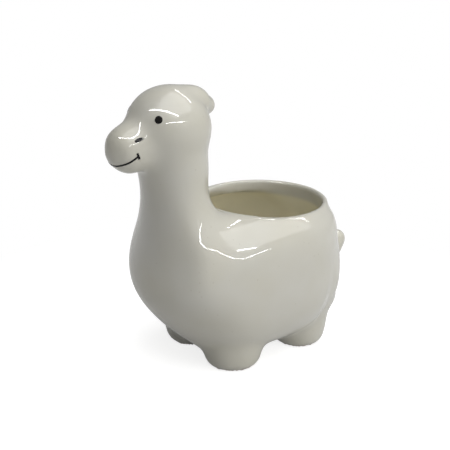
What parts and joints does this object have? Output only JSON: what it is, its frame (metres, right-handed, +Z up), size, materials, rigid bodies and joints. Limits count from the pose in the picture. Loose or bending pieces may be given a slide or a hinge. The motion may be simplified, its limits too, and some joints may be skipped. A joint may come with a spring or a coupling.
{
  "type": "animal shaped planter",
  "caption": "Glazed ceramic planter shaped as a long-necked animal on stub legs, with an open back for a plant.",
  "frame": {"origin": "on the table, under the middle of the overall box", "axes": "+Z up, +Y from the snout towards the tail, +X towards the animal's left side"},
  "size_m": [0.0952, 0.1578, 0.1504],
  "materials": {
    "glazed_ceramic": "glossy warm off-white glaze over a pale slip-cast body, the sole edges bare",
    "fired_paint": "glossy black overglaze paint"
  },
  "bodies": {
    "root": {"pot_body": "glazed_ceramic", "neck_and_head": "glazed_ceramic", "head_crest": "glazed_ceramic", "tail": "glazed_ceramic", "front_left_leg": "glazed_ceramic", "front_right_leg": "glazed_ceramic", "rear_left_leg": "glazed_ceramic", "rear_right_leg": "glazed_ceramic", "left_eye": "fired_paint", "right_eye": "fired_paint", "left_nostril": "fired_paint", "right_nostril": "fired_paint", "mouth_line": "fired_paint"}
  },
  "joints": []
}
